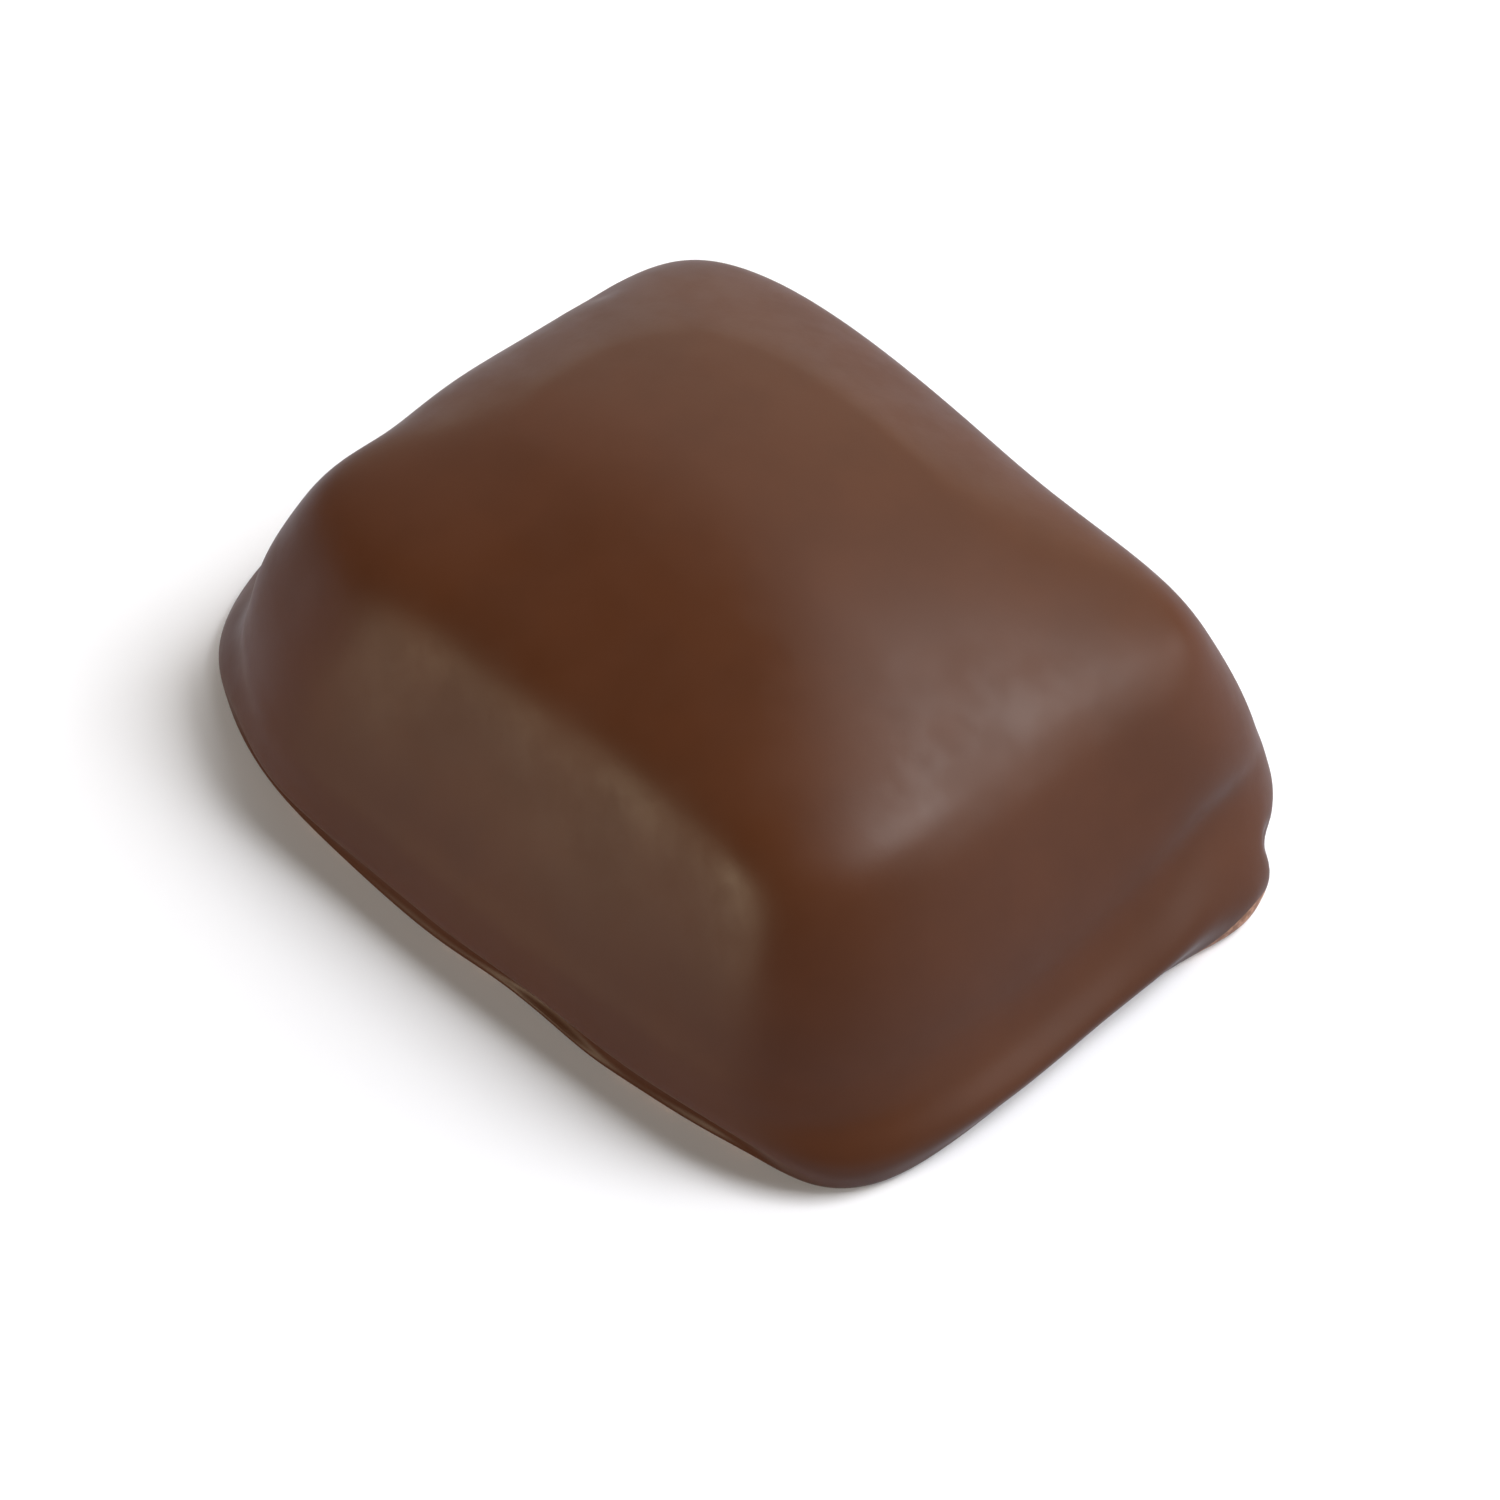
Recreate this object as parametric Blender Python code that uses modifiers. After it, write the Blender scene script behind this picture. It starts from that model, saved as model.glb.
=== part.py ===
"""Chocolate-covered brittle: one enrobed piece, a soft domed block on a wavy foot.

The piece is a closed block. A cube is cut into rows of small faces, each row is
carried to its place on the chocolate's section, and the whole is subdivided.
+X is the long way, +Y the short way, and the flat underside lies on Z = 0.
"""

import math

import bmesh
import bpy

MM = 0.001

# Half the length and width that the section pulls in from.
HALF_LENGTH = 18.1 * MM
HALF_WIDTH = 14.8 * MM

# The section, from the edge of the domed top down to the underside:
# height, and how far the outline pulls in there.
SECTION = (
    (11.9 * MM, 8.2 * MM),
    (11.1 * MM, 6.2 * MM),
    (10.3 * MM, 4.6 * MM),
    (9.4 * MM, 3.8 * MM),
    (8.2 * MM, 3.2 * MM),
    (6.4 * MM, 2.4 * MM),
    (4.9 * MM, 1.8 * MM),
    (4.1 * MM, 1.5 * MM),
    (3.4 * MM, 1.2 * MM),
    (2.7 * MM, 1.0 * MM),
    (2.1 * MM, 0.7 * MM),
    (1.6 * MM, 0.4 * MM),
    (1.1 * MM, 0.2 * MM),
    (0.6 * MM, 0.15 * MM),
    (0.0, 0.15 * MM),
    (0.0, 1.0 * MM),
)
DOME_EDGE_HEIGHT = SECTION[0][0]

# The foot spreads below its own height. Where its top rises or falls, the levels above
# follow it less and less, over the follow height.
FOOT_HEIGHT = 2.6 * MM
FOLLOW_HEIGHT = 6.0 * MM

# The waist is the hollow above the foot, the ledge the fuller edge of the foot itself.
WAIST_HEIGHT = 3.6 * MM
WAIST_HALF_HEIGHT = 1.4 * MM
LEDGE_HEIGHT = 1.8 * MM
LEDGE_HALF_HEIGHT = 0.7 * MM

# Each side: how much its wall leans for the section's pull-in, how far its foot spreads,
# and how far its middle bulges.
SIDES = {
    "+X": (1.2, 0.5 * MM, 0.0),
    "-X": (1.0, 0.3 * MM, 0.0),
    "+Y": (1.0, 0.3 * MM, 0.0),
    "-Y": (1.3, -0.8 * MM, 0.4 * MM),
}

# The top: its dome along X and along Y, what its corners keep of that dome, and its lean.
DOME_RISE_X = 1.4 * MM
DOME_RISE_Y = 0.8 * MM
DOME_CORNER_RISE = 0.4 * MM
LEAN_X = 0.05
LEAN_Y = -0.04

# Squareness of the outline's corners, as the exponent of a superellipse:
# at the dome's edge, on the wall below the shoulder, and at each corner of the foot.
# The shoulder is the band below the dome's edge where the first turns into the second.
DOME_SQUARENESS = 3.2
WALL_SQUARENESS = 6.0
SHOULDER_HEIGHT = 2.2 * MM
FOOT_SQUARENESS = {
    (1, 1): 3.0,
    (1, -1): 3.7,
    (-1, 1): 3.2,
    (-1, -1): 2.5,
}

# Unevenness left by the coating as it ran and set, at the foot: place round the outline
# in turns (0 at the corner of +X and -Y, then +X, +Y, -X, -Y), half-width in turns,
# and reach outwards.
FOOT_LOBES = (
    (0.020, 0.035, 1.0 * MM),
    (0.150, 0.080, -1.2 * MM),
    (0.200, 0.024, 1.3 * MM),
    (0.240, 0.030, -1.2 * MM),
    (0.750, 0.060, 1.1 * MM),
    (0.850, 0.085, -0.5 * MM),
    (0.900, 0.016, -0.7 * MM),
    (0.970, 0.060, -1.1 * MM),
)

# The same for the hollows of the waist.
WAIST_HOLLOWS = (
    (0.120, 0.090, -0.6 * MM),
    (0.200, 0.030, -0.7 * MM),
    (0.730, 0.030, -0.3 * MM),
)

# The same for how far the foot's top rises, or falls where it is negative.
FOOT_RISES = (
    (0.195, 0.035, 1.0 * MM),
    (0.090, 0.070, -0.5 * MM),
    (0.750, 0.060, 0.8 * MM),
)

# The same for the ledge.
LEDGE_SWELLS = (
    (0.100, 0.080, 0.3 * MM),
    (0.160, 0.020, 0.3 * MM),
    (0.200, 0.020, -0.3 * MM),
)

# The same for the wall above the foot, and the share of it that is gone at the dome's edge.
WALL_SWELLS = (
    (0.090, 0.090, 1.0 * MM),
    (0.230, 0.050, 0.8 * MM),
    (0.330, 0.060, -0.6 * MM),
    (0.580, 0.120, -1.05 * MM),
    (0.690, 0.035, -0.7 * MM),
    (0.810, 0.022, 0.5 * MM),
    (0.940, 0.050, -0.6 * MM),
)
DOME_EDGE_FADE = 0.5

# Faces along each side of the block, and how often the block is subdivided.
FACES_A_SIDE = 16
SMOOTHING_LEVELS = 1

CHOCOLATE_COLOR = (0.080, 0.027, 0.011, 1.0)
CHOCOLATE_ROUGHNESS = 0.42


def clear_scene():
    for item in list(bpy.data.objects):
        bpy.data.objects.remove(item, do_unlink=True)


def ease(value):
    value = min(1.0, max(0.0, value))
    return value * value * (3.0 - 2.0 * value)


def foot_squareness(p, q):
    """Blend of the four corners' squareness at a place on the block, p and q from -1 to 1."""
    toward_x = ease(0.5 + 0.5 * p)
    toward_y = ease(0.5 + 0.5 * q)
    blend = 0.0
    for (side_x, side_y), value in FOOT_SQUARENESS.items():
        share_x = toward_x if side_x > 0 else 1.0 - toward_x
        share_y = toward_y if side_y > 0 else 1.0 - toward_y
        blend += value * share_x * share_y
    return blend


def rounded(p, q, power):
    """Carry a place on the square block to the superellipse of the same reach."""
    length = (abs(p) ** power + abs(q) ** power) ** (1.0 / power)
    if length == 0.0:
        return 0.0, 0.0
    reach = max(abs(p), abs(q)) / length
    return p * reach, q * reach


def turns_round(p, q):
    """How far round the outline a place on the block's side lies, from 0 to 1."""
    if p >= 1.0 and q < 1.0:
        return (q + 1.0) / 8.0
    if q >= 1.0 and p > -1.0:
        return 0.25 + (1.0 - p) / 8.0
    if p <= -1.0 and q > -1.0:
        return 0.5 + (1.0 - q) / 8.0
    return 0.75 + (p + 1.0) / 8.0


def unevenness(turns, lobes):
    total = 0.0
    for place, half_width, reach in lobes:
        away = (turns - place + 0.5) % 1.0 - 0.5
        total += reach * math.exp(-((away / half_width) ** 2))
    return total


def lifted(turns, height):
    """Where a level of the section lies: the low ones follow the foot's top as it rises and falls."""
    lift = unevenness(turns, FOOT_RISES)
    if height < FOOT_HEIGHT:
        return height + lift * height / FOOT_HEIGHT
    return height + lift * (1.0 - ease((height - FOOT_HEIGHT) / FOLLOW_HEIGHT))


def foot_share(height):
    """How much of the foot's spread a level takes, from none at its top to all at the bottom."""
    return 1.0 - ease(height / FOOT_HEIGHT)


def half_sizes(p, q, height, pull_in):
    lean_x, spread_x, belly_x = SIDES["+X"] if p >= 0.0 else SIDES["-X"]
    lean_y, spread_y, belly_y = SIDES["+Y"] if q >= 0.0 else SIDES["-Y"]
    foot = foot_share(height)
    bow = 4.0 * height * (DOME_EDGE_HEIGHT - height) / DOME_EDGE_HEIGHT**2
    half_x = HALF_LENGTH - lean_x * pull_in + spread_x * foot + belly_x * bow
    half_y = HALF_WIDTH - lean_y * pull_in + spread_y * foot + belly_y * bow
    return half_x, half_y


def shoulder_share(height):
    """How near a height is to the dome's edge, from none below the shoulder to all at the edge."""
    return ease(1.0 - (DOME_EDGE_HEIGHT - height) / SHOULDER_HEIGHT)


def push_out(turns, height):
    """How far the coating's unevenness pushes the wall out at a place on it."""
    foot = foot_share(height)
    swell = unevenness(turns, WALL_SWELLS) * (1.0 - DOME_EDGE_FADE * shoulder_share(height))
    waist = math.exp(-(((height - WAIST_HEIGHT) / WAIST_HALF_HEIGHT) ** 2))
    ledge = math.exp(-(((height - LEDGE_HEIGHT) / LEDGE_HALF_HEIGHT) ** 2))
    push = foot * unevenness(turns, FOOT_LOBES) + (1.0 - foot) * swell
    return push + waist * unevenness(turns, WAIST_HOLLOWS) + ledge * unevenness(turns, LEDGE_SWELLS)


def rise(x, y, half_x, half_y, height):
    """Extra height of the top's dome and lean, fading down the wall."""
    share = height / DOME_EDGE_HEIGHT
    dome = DOME_RISE_X * (1.0 - (x / half_x) ** 2)
    dome += DOME_RISE_Y * (1.0 - (y / half_y) ** 2)
    dome += DOME_CORNER_RISE * (x / half_x * y / half_y) ** 2
    return share * (LEAN_X * x + LEAN_Y * y) + share**3 * dome


def placed(p, q, height, pull_in, power, push):
    """Carry a place on the square block to its place in the outline at a height, then outwards."""
    half_x, half_y = half_sizes(p, q, height, pull_in)
    u, v = rounded(p, q, power)
    out_x = math.copysign(abs(u) ** (power - 1.0), u) / half_x
    out_y = math.copysign(abs(v) ** (power - 1.0), v) / half_y
    out_length = max(math.hypot(out_x, out_y), 1.0e-9)
    x = u * half_x + push * out_x / out_length
    y = v * half_y + push * out_y / out_length
    reach = max(abs(p), abs(q), 1.0e-9)
    level = lifted(turns_round(p / reach, q / reach), height)
    return x, y, level + rise(x, y, half_x, half_y, height)


def on_top(p, q):
    height, pull_in = SECTION[0]
    return placed(p, q, height, pull_in, DOME_SQUARENESS, 0.0)


def on_wall(p, q, row):
    height, pull_in = SECTION[row]
    share_down = 1.0 - height / DOME_EDGE_HEIGHT
    power = WALL_SQUARENESS + (foot_squareness(p, q) - WALL_SQUARENESS) * share_down
    power += (DOME_SQUARENESS - power) * shoulder_share(height)
    return placed(p, q, height, pull_in, power, push_out(turns_round(p, q), height))


def block_with_rows():
    """A cube cut into the section's rows, its underside one single face."""
    rows = len(SECTION) - 1
    block = bmesh.new()
    bmesh.ops.create_cube(block, size=2.0)
    upright = [e for e in block.edges if abs(e.verts[0].co.z - e.verts[1].co.z) > 1.0]
    bmesh.ops.subdivide_edges(block, edges=upright, cuts=rows - 1)
    level = [e for e in block.edges if abs(e.verts[0].co.z - e.verts[1].co.z) < 0.001]
    bmesh.ops.subdivide_edges(block, edges=level, cuts=FACES_A_SIDE - 1, use_grid_fill=True)
    underside = [f for f in block.faces if f.normal.z < -0.5]
    bmesh.ops.dissolve_faces(block, faces=underside)
    return block


def brittle_mesh():
    rows = len(SECTION) - 1
    block = block_with_rows()
    for vert in block.verts:
        p, q, level = vert.co
        p = round(p, 4)
        q = round(q, 4)
        row = round((1.0 - level) / 2.0 * rows)
        if row == 0 and max(abs(p), abs(q)) < 1.0:
            vert.co = on_top(p, q)
        else:
            vert.co = on_wall(p, q, row)
    mesh = bpy.data.meshes.new("brittle_piece")
    block.to_mesh(mesh)
    block.free()
    mesh.shade_smooth()
    return mesh


def chocolate():
    material = bpy.data.materials.new("chocolate_coating")
    material.use_nodes = True
    shader = material.node_tree.nodes["Principled BSDF"]
    shader.inputs["Base Color"].default_value = CHOCOLATE_COLOR
    shader.inputs["Roughness"].default_value = CHOCOLATE_ROUGHNESS
    shader.inputs["Metallic"].default_value = 0.0
    material.diffuse_color = CHOCOLATE_COLOR
    return material


def stand_on_origin(piece):
    """Shift the mesh so that the finished piece's box is centred over the origin, on Z = 0."""
    bpy.context.view_layer.update()
    finished = piece.evaluated_get(bpy.context.evaluated_depsgraph_get()).data
    lows = [min(v.co[axis] for v in finished.vertices) for axis in range(3)]
    highs = [max(v.co[axis] for v in finished.vertices) for axis in range(3)]
    for vert in piece.data.vertices:
        vert.co.x -= (lows[0] + highs[0]) / 2.0
        vert.co.y -= (lows[1] + highs[1]) / 2.0
        vert.co.z -= lows[2]


def build():
    clear_scene()
    collection = bpy.data.collections.new("chocolate_covered_brittle")
    bpy.context.scene.collection.children.link(collection)
    piece = bpy.data.objects.new("brittle_piece", brittle_mesh())
    collection.objects.link(piece)
    piece.data.materials.append(chocolate())
    smoothing = piece.modifiers.new("smoothing", "SUBSURF")
    smoothing.levels = SMOOTHING_LEVELS
    smoothing.render_levels = SMOOTHING_LEVELS
    stand_on_origin(piece)


build()
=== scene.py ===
"""Chocolate-covered brittle, dressed: the fine coating in place of the plain solid, on a pale floor.

The coating is shaped from the same named sizes as the solid it replaces, then gets what the solid
leaves out: soft waves, a thin lip at the foot with a groove above it, three small marks and a raw,
paler rim along parts of the foot. Lengths are in metres, +X is the long way, +Y the short way, and
Z = 0 the floor.
"""

import logging
import math
from dataclasses import dataclass, field
from enum import Enum

import bmesh
import bpy
from mathutils import Matrix, Vector, noise


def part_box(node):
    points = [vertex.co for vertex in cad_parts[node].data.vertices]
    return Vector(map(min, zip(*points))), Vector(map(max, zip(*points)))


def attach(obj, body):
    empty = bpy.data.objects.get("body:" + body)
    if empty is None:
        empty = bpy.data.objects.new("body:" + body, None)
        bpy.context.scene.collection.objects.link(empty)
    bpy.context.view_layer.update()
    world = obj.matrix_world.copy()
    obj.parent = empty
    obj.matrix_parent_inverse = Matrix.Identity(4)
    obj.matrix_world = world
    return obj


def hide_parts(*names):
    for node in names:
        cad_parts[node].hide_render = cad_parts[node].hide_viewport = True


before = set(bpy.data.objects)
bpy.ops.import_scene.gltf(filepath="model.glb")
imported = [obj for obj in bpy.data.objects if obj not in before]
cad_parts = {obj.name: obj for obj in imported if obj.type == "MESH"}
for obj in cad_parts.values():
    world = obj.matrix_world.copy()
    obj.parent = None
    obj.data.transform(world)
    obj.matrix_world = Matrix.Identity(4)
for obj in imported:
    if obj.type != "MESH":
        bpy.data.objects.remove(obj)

LOG = logging.getLogger("brittle")

MM = 0.001
NODE = "brittle_piece"
BODY = "root"
PHOTO_PIXELS = 1500
TINY = 1.0e-9

Color = tuple[float, float, float]


def ease(value: float) -> float:
    """Smooth step from 0 to 1.

    Args:
        value: Any number; below 0 it counts as 0, above 1 as 1.

    Returns:
        The eased share, with level ends.
    """
    value = min(1.0, max(0.0, value))
    return value * value * (3.0 - 2.0 * value)


class Side(Enum):
    """A side of the piece, named by the way its wall faces."""

    END_RIGHT = "+X"
    END_LEFT = "-X"
    LONG_BACK = "+Y"
    LONG_FRONT = "-Y"


@dataclass(frozen=True)
class Ring:
    """One level of the coating's section: its height and how far the outline pulls in there."""

    height: float
    pull_in: float


@dataclass(frozen=True)
class Wall:
    """How one side differs: its lean for the section's pull-in, its foot's spread, its belly."""

    lean: float
    foot_spread: float
    belly: float


@dataclass(frozen=True)
class Lobe:
    """A soft bulge or hollow somewhere round the outline.

    Places count in turns round the outline: 0 at the corner of +X and -Y, then along the +X, +Y,
    -X and -Y sides, a quarter turn each.
    """

    place: float
    half_width: float
    reach: float

    def at(self, turns: float) -> float:
        """Reach outwards at a place round the outline.

        Args:
            turns: The place, in turns.

        Returns:
            The reach in metres, negative for a hollow.
        """
        away = (turns - self.place + 0.5) % 1.0 - 0.5
        return self.reach * math.exp(-((away / self.half_width) ** 2))


@dataclass(frozen=True)
class Crease:
    """A small mark on the coating, pressed in, or raised where its depth is negative."""

    place: Vector
    radius: float
    depth: float

    def at(self, point: Vector) -> float:
        """Depth of the mark at a point of the surface."""
        return self.depth * math.exp(-(((point - self.place).length / self.radius) ** 2))


def total_reach(lobes: tuple[Lobe, ...], turns: float) -> float:
    """Sum of several lobes' reach at a place round the outline.

    Args:
        lobes: The bulges and hollows.
        turns: The place, in turns.

    Returns:
        How far the outline moves outwards there, in metres.
    """
    return sum(lobe.at(turns) for lobe in lobes)


@dataclass(frozen=True)
class CloudGroup:
    """Soft noise as one node group, placed in every material that is patchy or grainy."""

    name: str = "soft_cloud"
    settings: tuple[str, ...] = ("Scale", "Detail", "Roughness")

    def tree(self) -> bpy.types.NodeTree:
        """Find the group, or build it the first time it is asked for.

        Returns:
            The group's node tree, with a place, a scale, a detail and a roughness going in and a
            share from 0 to 1 coming out.
        """
        found = bpy.data.node_groups.get(self.name)
        if found is not None:
            return found
        tree = bpy.data.node_groups.new(self.name, "ShaderNodeTree")
        tree.interface.new_socket("Place", in_out="INPUT", socket_type="NodeSocketVector")
        for name in self.settings:
            tree.interface.new_socket(name, in_out="INPUT", socket_type="NodeSocketFloat")
        tree.interface.new_socket("Share", in_out="OUTPUT", socket_type="NodeSocketFloat")
        start = tree.nodes.new("NodeGroupInput")
        end = tree.nodes.new("NodeGroupOutput")
        noise_node = tree.nodes.new("ShaderNodeTexNoise")
        tree.links.new(start.outputs["Place"], noise_node.inputs["Vector"])
        for name in self.settings:
            tree.links.new(start.outputs[name], noise_node.inputs[name])
        tree.links.new(noise_node.outputs["Fac"], end.inputs["Share"])
        return tree


@dataclass(frozen=True)
class Cloud:
    """The grain of one soft noise: patches for each metre, finer octaves and their strength."""

    scale: float
    detail: float
    roughness: float = 0.5


@dataclass(frozen=True)
class Band:
    """A range of values. What lies outside it counts as its nearer end."""

    low: float
    high: float


@dataclass
class ShaderBoard:
    """A material's node tree, with short ways to add and join its nodes."""

    material: bpy.types.Material

    @classmethod
    def blank(cls, name: str) -> "ShaderBoard":
        """Start a new material that keeps only its Principled shader and output.

        Args:
            name: The material's name.

        Returns:
            The board for it.
        """
        material = bpy.data.materials.new(name)
        material.use_nodes = True
        return cls(material)

    @property
    def shader(self) -> bpy.types.Node:
        """The material's Principled shader."""
        return self.material.node_tree.nodes["Principled BSDF"]

    def node(self, kind: str, inputs: dict | None = None, **settings: object) -> bpy.types.Node:
        """Add a node.

        Args:
            kind: The node's type name.
            inputs: Values for its sockets, by socket name.
            **settings: Values for the node's own properties.

        Returns:
            The new node.
        """
        made = self.material.node_tree.nodes.new(kind)
        for key, value in settings.items():
            setattr(made, key, value)
        for key, value in (inputs or {}).items():
            made.inputs[key].default_value = value
        return made

    def join(self, start: bpy.types.NodeSocket, end: bpy.types.NodeSocket) -> None:
        """Join an output socket to an input socket."""
        self.material.node_tree.links.new(start, end)

    def cloud(self, cloud: Cloud) -> bpy.types.NodeSocket:
        """Soft noise over the surface.

        Args:
            cloud: The noise's grain.

        Returns:
            The noise's value socket, about 0.5 in the mean.
        """
        place = self.node("ShaderNodeTexCoord")
        group = self.node(
            "ShaderNodeGroup",
            {"Scale": cloud.scale, "Detail": cloud.detail, "Roughness": cloud.roughness},
            node_tree=CloudGroup().tree(),
        )
        self.join(place.outputs["Object"], group.inputs["Place"])
        return group.outputs["Share"]

    def spread(
        self, value: bpy.types.NodeSocket, band: Band, to_low: float = 0.0, to_high: float = 1.0
    ) -> bpy.types.NodeSocket:
        """Carry a value from one range to another, clamped at both ends.

        Args:
            value: The socket to carry.
            band: The range it has.
            to_low: What the range's low end becomes.
            to_high: What the range's high end becomes.

        Returns:
            The new value's socket.
        """
        carry = self.node(
            "ShaderNodeMapRange",
            {"From Min": band.low, "From Max": band.high, "To Min": to_low, "To Max": to_high},
            interpolation_type="SMOOTHSTEP",
        )
        self.join(value, carry.inputs["Value"])
        return carry.outputs["Result"]

    def blend(self, share: bpy.types.NodeSocket, first: object, second: object) -> bpy.types.NodeSocket:
        """Mix two colours.

        Args:
            share: Socket that says how much of the second colour shows.
            first: A colour or a colour socket.
            second: A colour or a colour socket.

        Returns:
            The mixed colour's socket.
        """
        mix = self.node("ShaderNodeMix", data_type="RGBA")
        self.join(share, mix.inputs["Factor"])
        for name, color in (("A", first), ("B", second)):
            socket = next(s for s in mix.inputs if s.name == name and s.type == "RGBA")
            if isinstance(color, bpy.types.NodeSocket):
                self.join(color, socket)
            else:
                socket.default_value = (*color, 1.0)
        return next(s for s in mix.outputs if s.type == "RGBA")

    def bump(
        self,
        height: bpy.types.NodeSocket,
        distance: float,
        below: bpy.types.NodeSocket | None = None,
    ) -> bpy.types.NodeSocket:
        """Turn a height into a surface normal.

        Args:
            height: The height's socket, from 0 to 1.
            distance: What a height of 1 is in metres.
            below: Normal of a coarser relief that this one lies on.

        Returns:
            The normal's socket.
        """
        bump = self.node("ShaderNodeBump", {"Strength": 1.0, "Distance": distance})
        self.join(height, bump.inputs["Height"])
        if below is not None:
            self.join(below, bump.inputs["Normal"])
        return bump.outputs["Normal"]


@dataclass(frozen=True)
class ChocolateFinish:
    """Satin milk chocolate: faint mottling, uneven gloss, a trace of sheen, fine grain, a raw rim."""

    color: Color = (0.078, 0.0262, 0.0105)
    mottle_color: Color = (0.085, 0.0286, 0.0115)
    rim_color: Color = (0.46, 0.23, 0.125)
    scrape_color: Color = (0.24, 0.095, 0.035)
    roughness: float = 0.42
    roughness_swing: float = 0.05
    refraction: float = 1.45
    specular_level: float = 0.25
    sheen: float = 0.08
    sheen_roughness: float = 0.3
    mottle: Cloud = Cloud(260.0, 3.0)
    mottle_band: Band = Band(0.35, 0.65)
    bloom: Cloud = Cloud(420.0, 4.0, 0.6)
    bloom_band: Band = Band(0.3, 0.7)
    ripple: Cloud = Cloud(380.0, 1.0)
    ripple_relief: float = 0.004 * MM
    grain: Cloud = Cloud(7000.0, 2.0)
    grain_relief: float = 0.0018 * MM
    scraps: Cloud = Cloud(2600.0, 2.0)
    scraps_band: Band = Band(0.42, 0.58)
    rim_height: float = 1.10 * MM
    rim_edge: float = 0.06 * MM
    rim_ragged: Cloud = Cloud(1500.0, 3.0, 0.6)
    rim_raggedness: float = 0.22 * MM

    def build(self) -> bpy.types.Material:
        """Make the material.

        Returns:
            The finished material.
        """
        board = ShaderBoard.blank("satin_milk_chocolate")
        shader = board.shader
        shader.inputs["IOR"].default_value = self.refraction
        shader.inputs["Specular IOR Level"].default_value = self.specular_level
        shader.inputs["Sheen Weight"].default_value = self.sheen
        shader.inputs["Sheen Roughness"].default_value = self.sheen_roughness
        mottle = board.spread(board.cloud(self.mottle), self.mottle_band)
        coat = board.blend(mottle, self.color, self.mottle_color)
        rim = self._rim_mask(board)
        scraps = board.spread(board.cloud(self.scraps), self.scraps_band)
        raw = board.blend(scraps, self.rim_color, self.scrape_color)
        board.join(board.blend(rim, coat, raw), shader.inputs["Base Color"])
        smoothest = self.roughness - self.roughness_swing
        roughest = self.roughness + self.roughness_swing
        rough = board.spread(board.cloud(self.bloom), self.bloom_band, smoothest, roughest)
        board.join(rough, shader.inputs["Roughness"])
        ripple = board.bump(board.cloud(self.ripple), self.ripple_relief)
        grain = board.bump(board.cloud(self.grain), self.grain_relief, ripple)
        board.join(grain, shader.inputs["Normal"])
        board.material.diffuse_color = (*self.color, 1.0)
        return board.material

    def _rim_mask(self, board: ShaderBoard) -> bpy.types.NodeSocket:
        """Where the thin raw rim shows: low on the foot, broken up, and only where it is marked.

        Args:
            board: The material's board.

        Returns:
            The mask's socket, from 0 to 1.
        """
        place = board.node("ShaderNodeTexCoord")
        split = board.node("ShaderNodeSeparateXYZ")
        board.join(place.outputs["Object"], split.inputs["Vector"])
        ragged = board.node(
            "ShaderNodeMath",
            {1: self.rim_raggedness, 2: -self.rim_raggedness / 2.0},
            operation="MULTIPLY_ADD",
        )
        board.join(board.cloud(self.rim_ragged), ragged.inputs[0])
        height = board.node("ShaderNodeMath", operation="ADD")
        board.join(split.outputs["Z"], height.inputs[0])
        board.join(ragged.outputs["Value"], height.inputs[1])
        marked = board.node("ShaderNodeAttribute", attribute_name=BrittlePiece.RIM_ATTRIBUTE)
        reach = board.node("ShaderNodeMath", {1: self.rim_height}, operation="MULTIPLY")
        board.join(marked.outputs["Fac"], reach.inputs[0])
        inside = board.node("ShaderNodeMath", operation="SUBTRACT")
        board.join(reach.outputs["Value"], inside.inputs[0])
        board.join(height.outputs["Value"], inside.inputs[1])
        return board.spread(inside.outputs["Value"], Band(0.0, self.rim_edge))


@dataclass(frozen=True)
class FloorFinish:
    """Smooth matte board, a very slightly cool white to the camera and mid grey to bounced light."""

    color: Color = (0.87, 0.88, 0.92)
    shade_color: Color = (0.85, 0.86, 0.90)
    shade: Cloud = Cloud(40.0, 2.0)
    shade_band: Band = Band(0.3, 0.7)
    bounce_color: Color = (0.50, 0.52, 0.60)
    roughness: float = 0.9
    specular_level: float = 0.2
    glow: float = 0.10
    glow_color: Color = (1.0, 1.0, 1.0)

    def build(self) -> bpy.types.Material:
        """Make the material.

        Returns:
            The finished material.
        """
        board = ShaderBoard.blank("white_board")
        shader = board.shader
        shader.inputs["Roughness"].default_value = self.roughness
        shader.inputs["Specular IOR Level"].default_value = self.specular_level
        shader.inputs["Emission Color"].default_value = (*self.glow_color, 1.0)
        shader.inputs["Emission Strength"].default_value = self.glow
        tint = board.spread(board.cloud(self.shade), self.shade_band)
        seen = board.blend(tint, self.color, self.shade_color)
        rays = board.node("ShaderNodeLightPath")
        board.join(
            board.blend(rays.outputs["Is Camera Ray"], self.bounce_color, seen),
            shader.inputs["Base Color"],
        )
        return board.material


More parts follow.
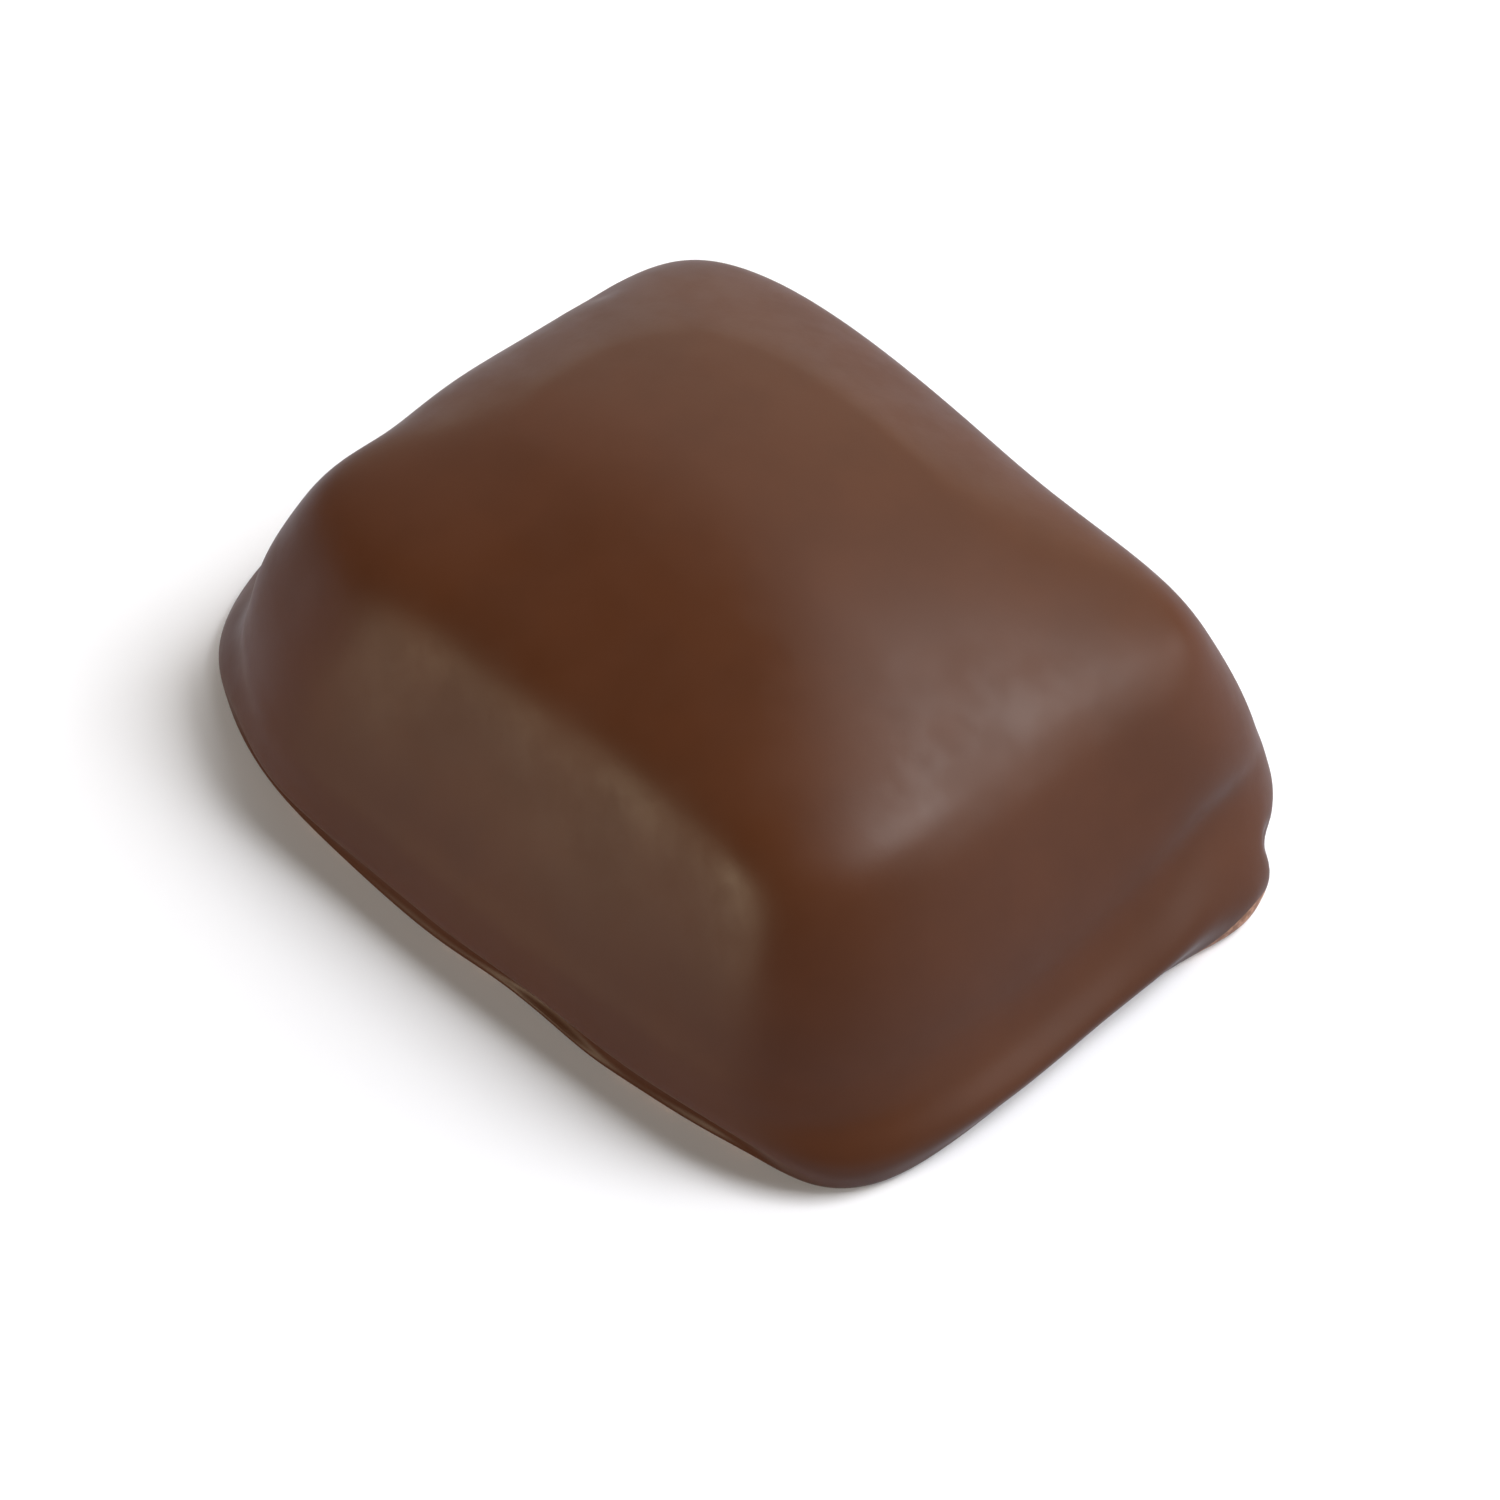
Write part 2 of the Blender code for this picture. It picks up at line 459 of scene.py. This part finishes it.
@dataclass
class BrittlePiece:
    """The whole piece: a domed block with sloping walls on an uneven foot."""

    RIM_ATTRIBUTE = "raw_rim"

    half_length: float = 18.1 * MM
    half_width: float = 14.8 * MM
    section: tuple[Ring, ...] = (
        Ring(11.9 * MM, 8.2 * MM),
        Ring(11.1 * MM, 6.2 * MM),
        Ring(10.3 * MM, 4.6 * MM),
        Ring(9.4 * MM, 3.8 * MM),
        Ring(8.2 * MM, 3.2 * MM),
        Ring(6.4 * MM, 2.4 * MM),
        Ring(4.9 * MM, 1.8 * MM),
        Ring(4.1 * MM, 1.5 * MM),
        Ring(3.4 * MM, 1.2 * MM),
        Ring(2.7 * MM, 1.0 * MM),
        Ring(2.1 * MM, 0.7 * MM),
        Ring(1.6 * MM, 0.4 * MM),
        Ring(1.1 * MM, 0.2 * MM),
        Ring(0.6 * MM, 0.15 * MM),
        Ring(0.0, 0.15 * MM),
        Ring(0.0, 1.0 * MM),
    )
    walls: dict[Side, Wall] = field(
        default_factory=lambda: {
            Side.END_RIGHT: Wall(1.2, 0.5 * MM, 0.0),
            Side.END_LEFT: Wall(1.0, 0.3 * MM, 0.0),
            Side.LONG_BACK: Wall(1.0, 0.3 * MM, 0.0),
            Side.LONG_FRONT: Wall(1.3, -0.8 * MM, 0.4 * MM),
        }
    )
    foot_height: float = 2.6 * MM
    foot_rises: tuple[Lobe, ...] = (
        Lobe(0.195, 0.035, 1.0 * MM),
        Lobe(0.090, 0.070, -0.5 * MM),
        Lobe(0.750, 0.060, 0.8 * MM),
    )
    follow_height: float = 6.0 * MM
    waist_height: float = 3.6 * MM
    waist_half_height: float = 1.4 * MM
    ledge_height: float = 1.8 * MM
    ledge_half_height: float = 0.7 * MM
    dome_rise_x: float = 1.4 * MM
    dome_rise_y: float = 0.8 * MM
    dome_corner_rise: float = 0.4 * MM
    lean_x: float = 0.05
    lean_y: float = -0.04
    dome_squareness: float = 3.2
    wall_squareness: float = 6.0
    shoulder_height: float = 2.2 * MM
    foot_squareness: dict[tuple[int, int], float] = field(
        default_factory=lambda: {(1, 1): 3.0, (1, -1): 3.7, (-1, 1): 3.2, (-1, -1): 2.5}
    )
    foot_lobes: tuple[Lobe, ...] = (
        Lobe(0.020, 0.035, 1.0 * MM),
        Lobe(0.150, 0.080, -1.2 * MM),
        Lobe(0.200, 0.024, 1.3 * MM),
        Lobe(0.240, 0.030, -1.2 * MM),
        Lobe(0.750, 0.060, 1.1 * MM),
        Lobe(0.850, 0.085, -0.5 * MM),
        Lobe(0.900, 0.016, -0.7 * MM),
        Lobe(0.970, 0.060, -1.1 * MM),
    )
    waist_hollows: tuple[Lobe, ...] = (
        Lobe(0.120, 0.090, -0.6 * MM),
        Lobe(0.200, 0.030, -0.7 * MM),
        Lobe(0.730, 0.030, -0.3 * MM),
    )
    ledge_swells: tuple[Lobe, ...] = (
        Lobe(0.100, 0.080, 0.3 * MM),
        Lobe(0.160, 0.020, 0.3 * MM),
        Lobe(0.200, 0.020, -0.3 * MM),
    )
    wall_swells: tuple[Lobe, ...] = (
        Lobe(0.090, 0.090, 1.0 * MM),
        Lobe(0.230, 0.050, 0.8 * MM),
        Lobe(0.330, 0.060, -0.6 * MM),
        Lobe(0.580, 0.120, -1.05 * MM),
        Lobe(0.690, 0.035, -0.7 * MM),
        Lobe(0.810, 0.022, 0.5 * MM),
        Lobe(0.940, 0.050, -0.6 * MM),
    )
    dome_edge_fade: float = 0.5
    faces_a_side: int = 16
    smoothing_levels: int = 3
    wave_relief: float = 0.02 * MM
    wave_length: float = 5.0 * MM
    relief_start: float = 0.2
    least_sideways: float = 0.3
    lip_height: float = 0.20 * MM
    lip_half_height: float = 0.22 * MM
    lip_marks: tuple[Lobe, ...] = (
        Lobe(0.800, 0.035, 0.22 * MM),
        Lobe(0.860, 0.030, 0.20 * MM),
        Lobe(0.910, 0.025, 0.40 * MM),
        Lobe(0.970, 0.030, 0.28 * MM),
    )
    groove_height: float = 1.10 * MM
    groove_half_height: float = 0.65 * MM
    groove_marks: tuple[Lobe, ...] = (
        Lobe(0.800, 0.035, -0.30 * MM),
        Lobe(0.860, 0.030, -0.35 * MM),
        Lobe(0.915, 0.030, -0.45 * MM),
        Lobe(0.970, 0.030, -0.35 * MM),
    )
    creases: tuple[Crease, ...] = (
        Crease(Vector((-12.4, 4.4, 10.0)) * MM, 0.7 * MM, 0.09 * MM),
        Crease(Vector((16.3, 9.6, 1.9)) * MM, 0.55 * MM, 0.24 * MM),
        Crease(Vector((16.9, 9.0, 0.8)) * MM, 0.7 * MM, -0.18 * MM),
    )
    raw_rim_marks: tuple[Lobe, ...] = (
        Lobe(0.190, 0.020, 1.0),
        Lobe(0.820, 0.030, 0.18),
        Lobe(0.880, 0.025, 0.18),
        Lobe(0.950, 0.025, 0.24),
        Lobe(0.985, 0.012, 0.20),
    )

    @property
    def dome_edge_height(self) -> float:
        """Height of the edge of the domed top."""
        return self.section[0].height

    def build(self, finish: bpy.types.Material) -> bpy.types.Object:
        """Model the piece, set it where the solid is, and dress it.

        Args:
            finish: The coating's material.

        Returns:
            The finished piece.
        """
        mesh = self._smoothed(self._cage())
        self._settle(mesh)
        self._add_relief(mesh)
        self._mark_raw_rim(mesh)
        mesh.shade_smooth()
        mesh.materials.append(finish)
        piece = bpy.data.objects.new("brittle_coating", mesh)
        bpy.context.scene.collection.objects.link(piece)
        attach(piece, BODY)
        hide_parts(NODE)
        return piece

    def _cage(self) -> bmesh.types.BMesh:
        """A cube cut into the section's rows and carried to its place row by row.

        Returns:
            The coarse block, its underside one single face.
        """
        rows = len(self.section) - 1
        block = bmesh.new()
        bmesh.ops.create_cube(block, size=2.0)
        upright = [e for e in block.edges if abs(e.verts[0].co.z - e.verts[1].co.z) > 1.0]
        bmesh.ops.subdivide_edges(block, edges=upright, cuts=rows - 1)
        level = [e for e in block.edges if abs(e.verts[0].co.z - e.verts[1].co.z) < 0.001]
        bmesh.ops.subdivide_edges(block, edges=level, cuts=self.faces_a_side - 1, use_grid_fill=True)
        underside = [f for f in block.faces if f.normal.z < -0.5]
        bmesh.ops.dissolve_faces(block, faces=underside)
        for vert in block.verts:
            across, along = round(vert.co.x, 4), round(vert.co.y, 4)
            row = round((1.0 - vert.co.z) / 2.0 * rows)
            if row == 0 and max(abs(across), abs(along)) < 1.0:
                vert.co = self._on_top(across, along)
            else:
                vert.co = self._on_wall(across, along, row)
        return block

    def _foot_corner(self, across: float, along: float) -> float:
        """Squareness of the foot's outline at a place on the block.

        Args:
            across: Place along X, from -1 to 1.
            along: Place along Y, from -1 to 1.

        Returns:
            The blend of the four corners' squareness.
        """
        toward_x = ease(0.5 + 0.5 * across)
        toward_y = ease(0.5 + 0.5 * along)
        blend = 0.0
        for (side_x, side_y), value in self.foot_squareness.items():
            share_x = toward_x if side_x > 0 else 1.0 - toward_x
            share_y = toward_y if side_y > 0 else 1.0 - toward_y
            blend += value * share_x * share_y
        return blend

    @staticmethod
    def _turns_round(across: float, along: float) -> float:
        """How far round the outline a place on the block's side lies.

        Args:
            across: Place along X, from -1 to 1.
            along: Place along Y, from -1 to 1.

        Returns:
            The place in turns, from 0 to 1.
        """
        if across >= 1.0 and along < 1.0:
            return (along + 1.0) / 8.0
        if along >= 1.0 and across > -1.0:
            return 0.25 + (1.0 - across) / 8.0
        if across <= -1.0 and along > -1.0:
            return 0.5 + (1.0 - along) / 8.0
        return 0.75 + (across + 1.0) / 8.0

    def _lifted(self, turns: float, height: float) -> float:
        """Where a level lies: the low ones follow the foot's top as it rises and falls.

        Args:
            turns: Place round the outline, in turns.
            height: Height of the level in the section.

        Returns:
            The level's own height there.
        """
        lift = total_reach(self.foot_rises, turns)
        if height < self.foot_height:
            return height + lift * height / self.foot_height
        return height + lift * (1.0 - ease((height - self.foot_height) / self.follow_height))

    def _foot_share(self, height: float) -> float:
        """How much of the foot's spread a level takes, from none at its top to all at the bottom."""
        return 1.0 - ease(height / self.foot_height)

    def _shoulder_share(self, height: float) -> float:
        """How near a height is to the dome's edge, from none below the shoulder to all at the edge."""
        return ease(1.0 - (self.dome_edge_height - height) / self.shoulder_height)

    def _half_sizes(self, across: float, along: float, ring: Ring) -> tuple[float, float]:
        """Half the length and half the width of the outline at a level.

        Args:
            across: Place along X, from -1 to 1; its sign picks the side.
            along: Place along Y, from -1 to 1; its sign picks the side.
            ring: The section's level.

        Returns:
            The two half sizes in metres.
        """
        end = self.walls[Side.END_RIGHT if across >= 0.0 else Side.END_LEFT]
        flank = self.walls[Side.LONG_BACK if along >= 0.0 else Side.LONG_FRONT]
        foot = self._foot_share(ring.height)
        bow = 4.0 * ring.height * (self.dome_edge_height - ring.height) / self.dome_edge_height**2
        half_x = self.half_length - end.lean * ring.pull_in + end.foot_spread * foot + end.belly * bow
        half_y = self.half_width - flank.lean * ring.pull_in + flank.foot_spread * foot
        return half_x, half_y + flank.belly * bow

    def _push_out(self, turns: float, height: float) -> float:
        """How far the coating's unevenness pushes the wall out at a place on it.

        Args:
            turns: Place round the outline, in turns.
            height: Height on the wall.

        Returns:
            The push in metres.
        """
        foot = self._foot_share(height)
        swell = total_reach(self.wall_swells, turns)
        swell *= 1.0 - self.dome_edge_fade * self._shoulder_share(height)
        waist = math.exp(-(((height - self.waist_height) / self.waist_half_height) ** 2))
        ledge = math.exp(-(((height - self.ledge_height) / self.ledge_half_height) ** 2))
        push = foot * total_reach(self.foot_lobes, turns) + (1.0 - foot) * swell
        push += waist * total_reach(self.waist_hollows, turns)
        return push + ledge * total_reach(self.ledge_swells, turns)

    def _rise(self, x: float, y: float, half_x: float, half_y: float, height: float) -> float:
        """Extra height of the top's dome and lean, fading down the wall.

        Args:
            x: Place along X in metres.
            y: Place along Y in metres.
            half_x: Half the outline's length at this level.
            half_y: Half the outline's width at this level.
            height: Height of the level.

        Returns:
            The extra height in metres.
        """
        share = height / self.dome_edge_height
        dome = self.dome_rise_x * (1.0 - (x / half_x) ** 2)
        dome += self.dome_rise_y * (1.0 - (y / half_y) ** 2)
        dome += self.dome_corner_rise * (x / half_x * y / half_y) ** 2
        return share * (self.lean_x * x + self.lean_y * y) + share**3 * dome

    def _placed(self, across: float, along: float, ring: Ring, power: float, push: float) -> Vector:
        """Carry a place on the square block to its place in the outline at a level, then outwards.

        Args:
            across: Place along X, from -1 to 1.
            along: Place along Y, from -1 to 1.
            ring: The section's level.
            power: Squareness of the outline, as the exponent of a superellipse.
            push: How far to move it outwards.

        Returns:
            The point in metres.
        """
        half_x, half_y = self._half_sizes(across, along, ring)
        length = (abs(across) ** power + abs(along) ** power) ** (1.0 / power)
        scale = max(abs(across), abs(along)) / max(length, TINY)
        u, v = across * scale, along * scale
        outward = Vector(
            (
                math.copysign(abs(u) ** (power - 1.0), u) / half_x,
                math.copysign(abs(v) ** (power - 1.0), v) / half_y,
            )
        )
        if outward.length > 0.0:
            outward.normalize()
        x = u * half_x + push * outward.x
        y = v * half_y + push * outward.y
        reach = max(abs(across), abs(along), TINY)
        level = self._lifted(self._turns_round(across / reach, along / reach), ring.height)
        return Vector((x, y, level + self._rise(x, y, half_x, half_y, ring.height)))

    def _on_top(self, across: float, along: float) -> Vector:
        """A place inside the dome's edge."""
        return self._placed(across, along, self.section[0], self.dome_squareness, 0.0)

    def _on_wall(self, across: float, along: float, row: int) -> Vector:
        """A place on the dome's edge, the wall or the foot.

        Args:
            across: Place along X, from -1 to 1.
            along: Place along Y, from -1 to 1.
            row: Row of the section, from 0 at the dome's edge.

        Returns:
            The point in metres.
        """
        ring = self.section[row]
        share_down = 1.0 - ring.height / self.dome_edge_height
        corner = self._foot_corner(across, along)
        power = self.wall_squareness + (corner - self.wall_squareness) * share_down
        power += (self.dome_squareness - power) * self._shoulder_share(ring.height)
        push = self._push_out(self._turns_round(across, along), ring.height)
        return self._placed(across, along, ring, power, push)

    def _smoothed(self, cage: bmesh.types.BMesh) -> bpy.types.Mesh:
        """Subdivide the coarse block into the fine surface.

        Args:
            cage: The coarse block, freed here.

        Returns:
            The fine mesh.
        """
        coarse = bpy.data.meshes.new("coating_cage")
        cage.to_mesh(coarse)
        cage.free()
        holder = bpy.data.objects.new("coating_cage", coarse)
        bpy.context.scene.collection.objects.link(holder)
        smoothing = holder.modifiers.new("smoothing", "SUBSURF")
        smoothing.levels = self.smoothing_levels
        smoothing.render_levels = self.smoothing_levels
        graph = bpy.context.evaluated_depsgraph_get()
        fine = bpy.data.meshes.new_from_object(holder.evaluated_get(graph))
        fine.name = "brittle_coating"
        bpy.data.objects.remove(holder, do_unlink=True)
        return fine

    @staticmethod
    def _settle(mesh: bpy.types.Mesh) -> None:
        """Shift the fine mesh so that its box is centred on the solid's box, on the same floor."""
        low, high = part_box(NODE)
        lows = [min(v.co[axis] for v in mesh.vertices) for axis in range(3)]
        highs = [max(v.co[axis] for v in mesh.vertices) for axis in range(3)]
        shift = Vector(
            (
                (low.x + high.x - lows[0] - highs[0]) / 2.0,
                (low.y + high.y - lows[1] - highs[1]) / 2.0,
                low.z - lows[2],
            )
        )
        mesh.transform(Matrix.Translation(shift))

    def _add_relief(self, mesh: bpy.types.Mesh) -> None:
        """Add the soft waves, the creases, and the lip and groove at the foot to the fine mesh.

        Waves and creases fade out close to the floor, which keeps the underside flat. The lip and
        the groove move only what faces sideways enough to be wall.

        Args:
            mesh: The fine mesh.
        """
        moves = []
        for vert in mesh.vertices:
            point, normal = vert.co, vert.normal
            above_floor = ease(point.z / (2.0 * self.lip_half_height) - self.relief_start)
            wave = noise.noise(point / self.wave_length) * self.wave_relief
            dent = sum(crease.at(point) for crease in self.creases)
            move = normal * ((wave - dent) * above_floor)
            level = Vector((normal.x, normal.y, 0.0))
            if level.length > self.least_sideways:
                move += level.normalized() * self._foot_relief(self._turns_at(point), point.z)
            moves.append(move)
        for vert, move in zip(mesh.vertices, moves):
            vert.co += move

    def _foot_relief(self, turns: float, height: float) -> float:
        """How far the lip stands out, or the groove above it lies in, at a place low on the foot.

        Args:
            turns: Place round the outline, in turns.
            height: Height above the floor.

        Returns:
            The reach outwards in metres, negative in the groove.
        """
        lip = math.exp(-(((height - self.lip_height) / self.lip_half_height) ** 2))
        groove = math.exp(-(((height - self.groove_height) / self.groove_half_height) ** 2))
        return lip * total_reach(self.lip_marks, turns) + groove * total_reach(self.groove_marks, turns)

    def _turns_at(self, point: Vector) -> float:
        """How far round the outline a point of the fine mesh lies, in turns."""
        across = point.x / self.half_length
        along = point.y / self.half_width
        reach = max(abs(across), abs(along), 1.0e-6)
        return self._turns_round(round(across / reach, 6), round(along / reach, 6))

    def _mark_raw_rim(self, mesh: bpy.types.Mesh) -> None:
        """Store how raw the foot's rim is at each place round the outline, for the finish."""
        mark = mesh.attributes.new(self.RIM_ATTRIBUTE, "FLOAT", "POINT")
        for vert, value in zip(mesh.vertices, mark.data):
            value.value = min(1.0, total_reach(self.raw_rim_marks, self._turns_at(vert.co)))


@dataclass(frozen=True)
class Softbox:
    """A soft rectangular light, placed by its direction from the piece."""

    name: str
    azimuth: float
    elevation: float
    distance: float
    width: float
    height: float
    power: float
    color: Color = (1.0, 1.0, 1.0)

    def build(self, target: Vector) -> bpy.types.Object:
        """Hang the light and turn it to the piece.

        Args:
            target: The point it faces.

        Returns:
            The light.
        """
        data = bpy.data.lights.new(self.name, "AREA")
        data.shape = "RECTANGLE"
        data.size = self.width
        data.size_y = self.height
        data.energy = self.power
        data.color = self.color
        light = bpy.data.objects.new(self.name, data)
        bpy.context.scene.collection.objects.link(light)
        azimuth, elevation = math.radians(self.azimuth), math.radians(self.elevation)
        toward = Vector(
            (
                math.cos(elevation) * math.cos(azimuth),
                math.cos(elevation) * math.sin(azimuth),
                math.sin(elevation),
            )
        )
        light.location = target + toward * self.distance
        light.rotation_euler = (-toward).to_track_quat("-Z", "Y").to_euler()
        return light


@dataclass(frozen=True)
class PhotoCamera:
    """The camera at the photo's viewing angle."""

    azimuth: float = 47.8
    elevation: float = 50.3
    distance: float = 0.42
    pixels_per_metre: float = 28600.0
    origin_pixel: tuple[float, float] = (747.7, 748.2)
    sensor_width: float = 36.0
    nearest_seen: float = 0.01
    farthest_seen: float = 10.0

    def build(self) -> bpy.types.Object:
        """Set up the camera and make it the scene's own.

        Returns:
            The camera.
        """
        azimuth, elevation = math.radians(self.azimuth), math.radians(self.elevation)
        right = Vector((math.cos(azimuth), math.sin(azimuth), 0.0))
        forward = Vector(
            (
                -math.sin(azimuth) * math.cos(elevation),
                math.cos(azimuth) * math.cos(elevation),
                -math.sin(elevation),
            )
        )
        upward = right.cross(forward)
        data = bpy.data.cameras.new("photo_camera")
        data.sensor_width = self.sensor_width
        data.lens = self.sensor_width * self.pixels_per_metre * self.distance / PHOTO_PIXELS
        data.shift_x = (PHOTO_PIXELS / 2 - self.origin_pixel[0]) / PHOTO_PIXELS
        data.shift_y = (self.origin_pixel[1] - PHOTO_PIXELS / 2) / PHOTO_PIXELS
        data.clip_start = self.nearest_seen
        data.clip_end = self.farthest_seen
        camera = bpy.data.objects.new("photo_camera", data)
        bpy.context.scene.collection.objects.link(camera)
        turn = Matrix((right, upward, -forward)).transposed().to_4x4()
        camera.matrix_world = Matrix.Translation(-forward * self.distance) @ turn
        bpy.context.scene.camera = camera
        return camera


@dataclass(frozen=True)
class Studio:
    """The pale floor, the soft lights and the dim room round them."""

    floor_size: float = 3.0
    room_light: float = 0.01
    light_target: Vector = Vector((0.0, 0.0, 0.006))
    lights: tuple[Softbox, ...] = (
        Softbox("key_softbox", 50.0, 57.0, 1.0, 0.52, 0.42, 8.7),
        Softbox("top_softbox", 90.0, 66.0, 1.0, 0.60, 0.45, 1.9),
        Softbox("low_softbox", 52.0, 25.0, 1.0, 1.00, 0.42, 5.2),
        Softbox("end_panel", 25.0, 8.0, 1.0, 0.40, 0.25, 0.3),
        Softbox("rear_softbox", 140.0, 44.0, 1.0, 0.90, 0.45, 0.7),
        Softbox("back_softbox", 112.0, 33.0, 1.0, 0.90, 0.65, 1.7, (1.0, 0.90, 0.78)),
        Softbox("left_softbox", 165.0, 28.0, 1.0, 0.95, 0.35, 0.5),
        Softbox("side_panel", 138.0, 8.0, 1.0, 1.20, 0.22, 1.7, (1.0, 0.90, 0.75)),
        Softbox("warm_panel", -103.0, 5.0, 1.0, 0.44, 0.16, 2.3, (1.0, 0.80, 0.55)),
        Softbox("warm_fill", -108.0, 14.0, 1.0, 0.26, 0.20, 2.8, (1.0, 0.82, 0.56)),
        Softbox("front_fill", -35.0, 30.0, 1.0, 0.50, 0.50, 0.2),
    )

    def build(self) -> None:
        """Lay the floor, hang the lights and dim the room."""
        sheet = bmesh.new()
        bmesh.ops.create_grid(sheet, x_segments=1, y_segments=1, size=self.floor_size / 2.0)
        mesh = bpy.data.meshes.new("floor")
        sheet.to_mesh(mesh)
        sheet.free()
        mesh.materials.append(FloorFinish().build())
        floor = bpy.data.objects.new("floor", mesh)
        bpy.context.scene.collection.objects.link(floor)
        for light in self.lights:
            light.build(self.light_target)
            LOG.info("light %s", light.name)
        room = bpy.data.worlds.new("dim_room")
        room.use_nodes = True
        room.node_tree.nodes["Background"].inputs["Strength"].default_value = self.room_light
        bpy.context.scene.world = room
        bpy.context.scene.view_settings.view_transform = "Standard"
        LOG.info("floor and room")


def main() -> None:
    """Build the piece and its studio."""
    logging.basicConfig(level=logging.INFO, format="%(message)s")
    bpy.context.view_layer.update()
    piece = BrittlePiece().build(ChocolateFinish().build())
    LOG.info("piece %s: %d faces", piece.name, len(piece.data.polygons))
    Studio().build()
    camera = PhotoCamera().build()
    LOG.info("camera %s", camera.name)


if __name__ == "__main__":
    main()
